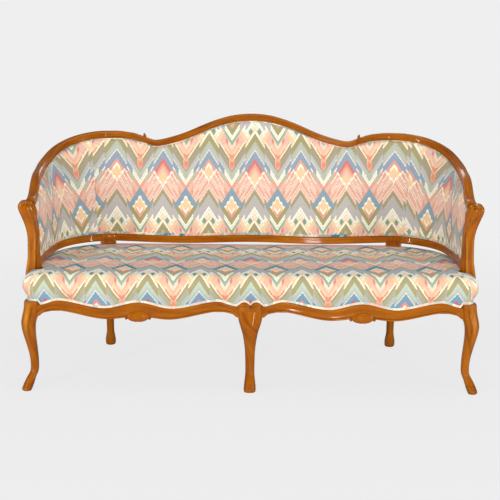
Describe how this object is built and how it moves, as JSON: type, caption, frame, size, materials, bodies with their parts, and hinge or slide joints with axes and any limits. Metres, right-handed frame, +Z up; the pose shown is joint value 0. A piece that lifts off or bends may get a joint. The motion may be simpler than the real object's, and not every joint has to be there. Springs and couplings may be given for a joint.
{
  "type": "cabriole sofa",
  "caption": "Upholstered sofa with a serpentine back that sweeps round into open-fronted arms, in a carved and polished wood frame on cabriole legs.",
  "frame": {"origin": "on the floor, below the middle of the bounding box", "axes": "+X along the sofa towards the sitter's left, the front faces -Y, +Z up"},
  "size_m": [1.82, 0.7408, 1.027],
  "materials": {
    "show_wood": "polished honey-brown hardwood",
    "frame_wood": "plain unpolished hardwood",
    "screw_steel": "bright zinc",
    "spring_steel": "coppered spring wire",
    "jute": "jute webbing and hessian",
    "cord": "laid twine",
    "stuffing": "curled hair under wadding",
    "cover_fabric": "ribbed weave with a flame-stitch pattern",
    "piping_fabric": "piping cord in ribbed cloth",
    "dust_fabric": "thin black lining"
  },
  "bodies": {
    "root": {"front_leg_left": "show_wood", "front_leg_right": "show_wood", "front_leg_centre": "show_wood", "back_leg_left": "show_wood", "back_leg_right": "show_wood", "front_rail_left": "show_wood", "front_rail_right": "show_wood", "rail_shells": "show_wood", "side_rail_left": "show_wood", "side_rail_right": "show_wood", "back_seat_rail": "frame_wood", "centre_bearer": "frame_wood", "front_battens": "frame_wood", "corner_blocks": "frame_wood", "corner_screws": "screw_steel", "arm_post_left": "show_wood", "arm_post_right": "show_wood", "lower_back_rail": "show_wood", "lower_arm_rail_left": "show_wood", "lower_arm_rail_right": "show_wood", "crest_rail_centre": "show_wood", "crest_rail_left": "show_wood", "crest_rail_right": "show_wood", "frame_dowels": "frame_wood", "seat_webbing": "jute", "seat_springs": "spring_steel", "spring_cords": "cord", "seat_hessian": "jute", "seat_stuffing": "stuffing", "seat_cover": "cover_fabric", "seat_piping": "piping_fabric", "dust_cover": "dust_fabric", "back_webbing": "jute", "back_hessian": "jute", "back_stuffing": "stuffing", "inside_back_cover": "cover_fabric", "crest_piping": "piping_fabric", "lower_piping": "piping_fabric", "outside_back_cover": "cover_fabric"}
  },
  "joints": []
}
